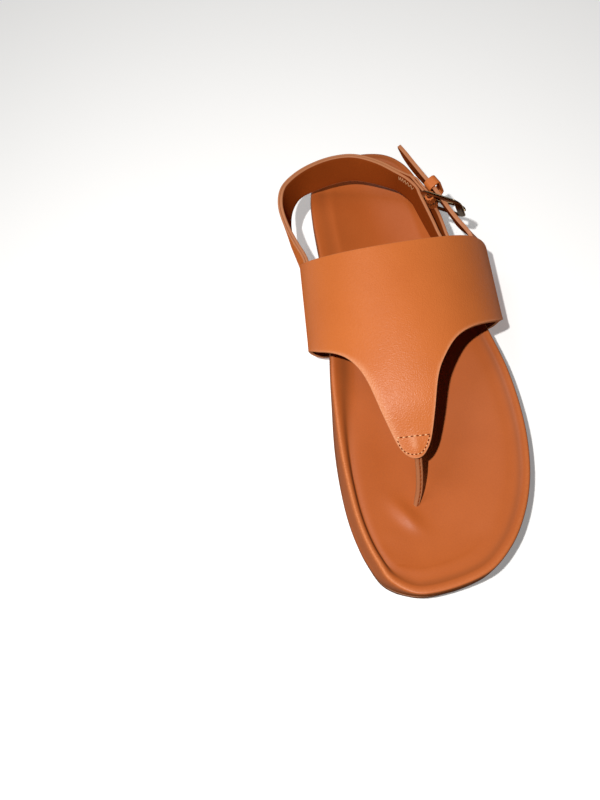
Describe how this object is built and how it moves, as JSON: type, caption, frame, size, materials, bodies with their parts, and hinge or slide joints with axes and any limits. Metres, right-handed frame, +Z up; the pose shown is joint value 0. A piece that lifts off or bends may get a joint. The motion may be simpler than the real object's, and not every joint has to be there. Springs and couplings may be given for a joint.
{
  "type": "toe post sandal",
  "caption": "Flat leather toe post sandal for the left foot: broad vamp with a tongue and toe post, heel strap with a side buckle, rimmed footbed on a ridged rubber sole.",
  "frame": {"origin": "middle of the footprint, on the ground under the tread", "axes": "-Y towards the toe, +Y towards the heel, -X towards the big-toe side, +X towards the buckle, +Z up"},
  "size_m": [0.1108, 0.258, 0.0599],
  "materials": {
    "outsole": "moulded, satin",
    "footbed": "smooth, satin",
    "upper": "smooth, fine grain",
    "strap_keeper": "smooth, fine grain",
    "buckle_frame": "polished",
    "buckle_prong": "polished"
  },
  "bodies": {
    "root": {"outsole": "outsole", "footbed": "footbed", "upper": "upper", "strap_keeper": "strap_keeper", "buckle_frame": "buckle_frame", "buckle_prong": "buckle_prong"}
  },
  "joints": []
}
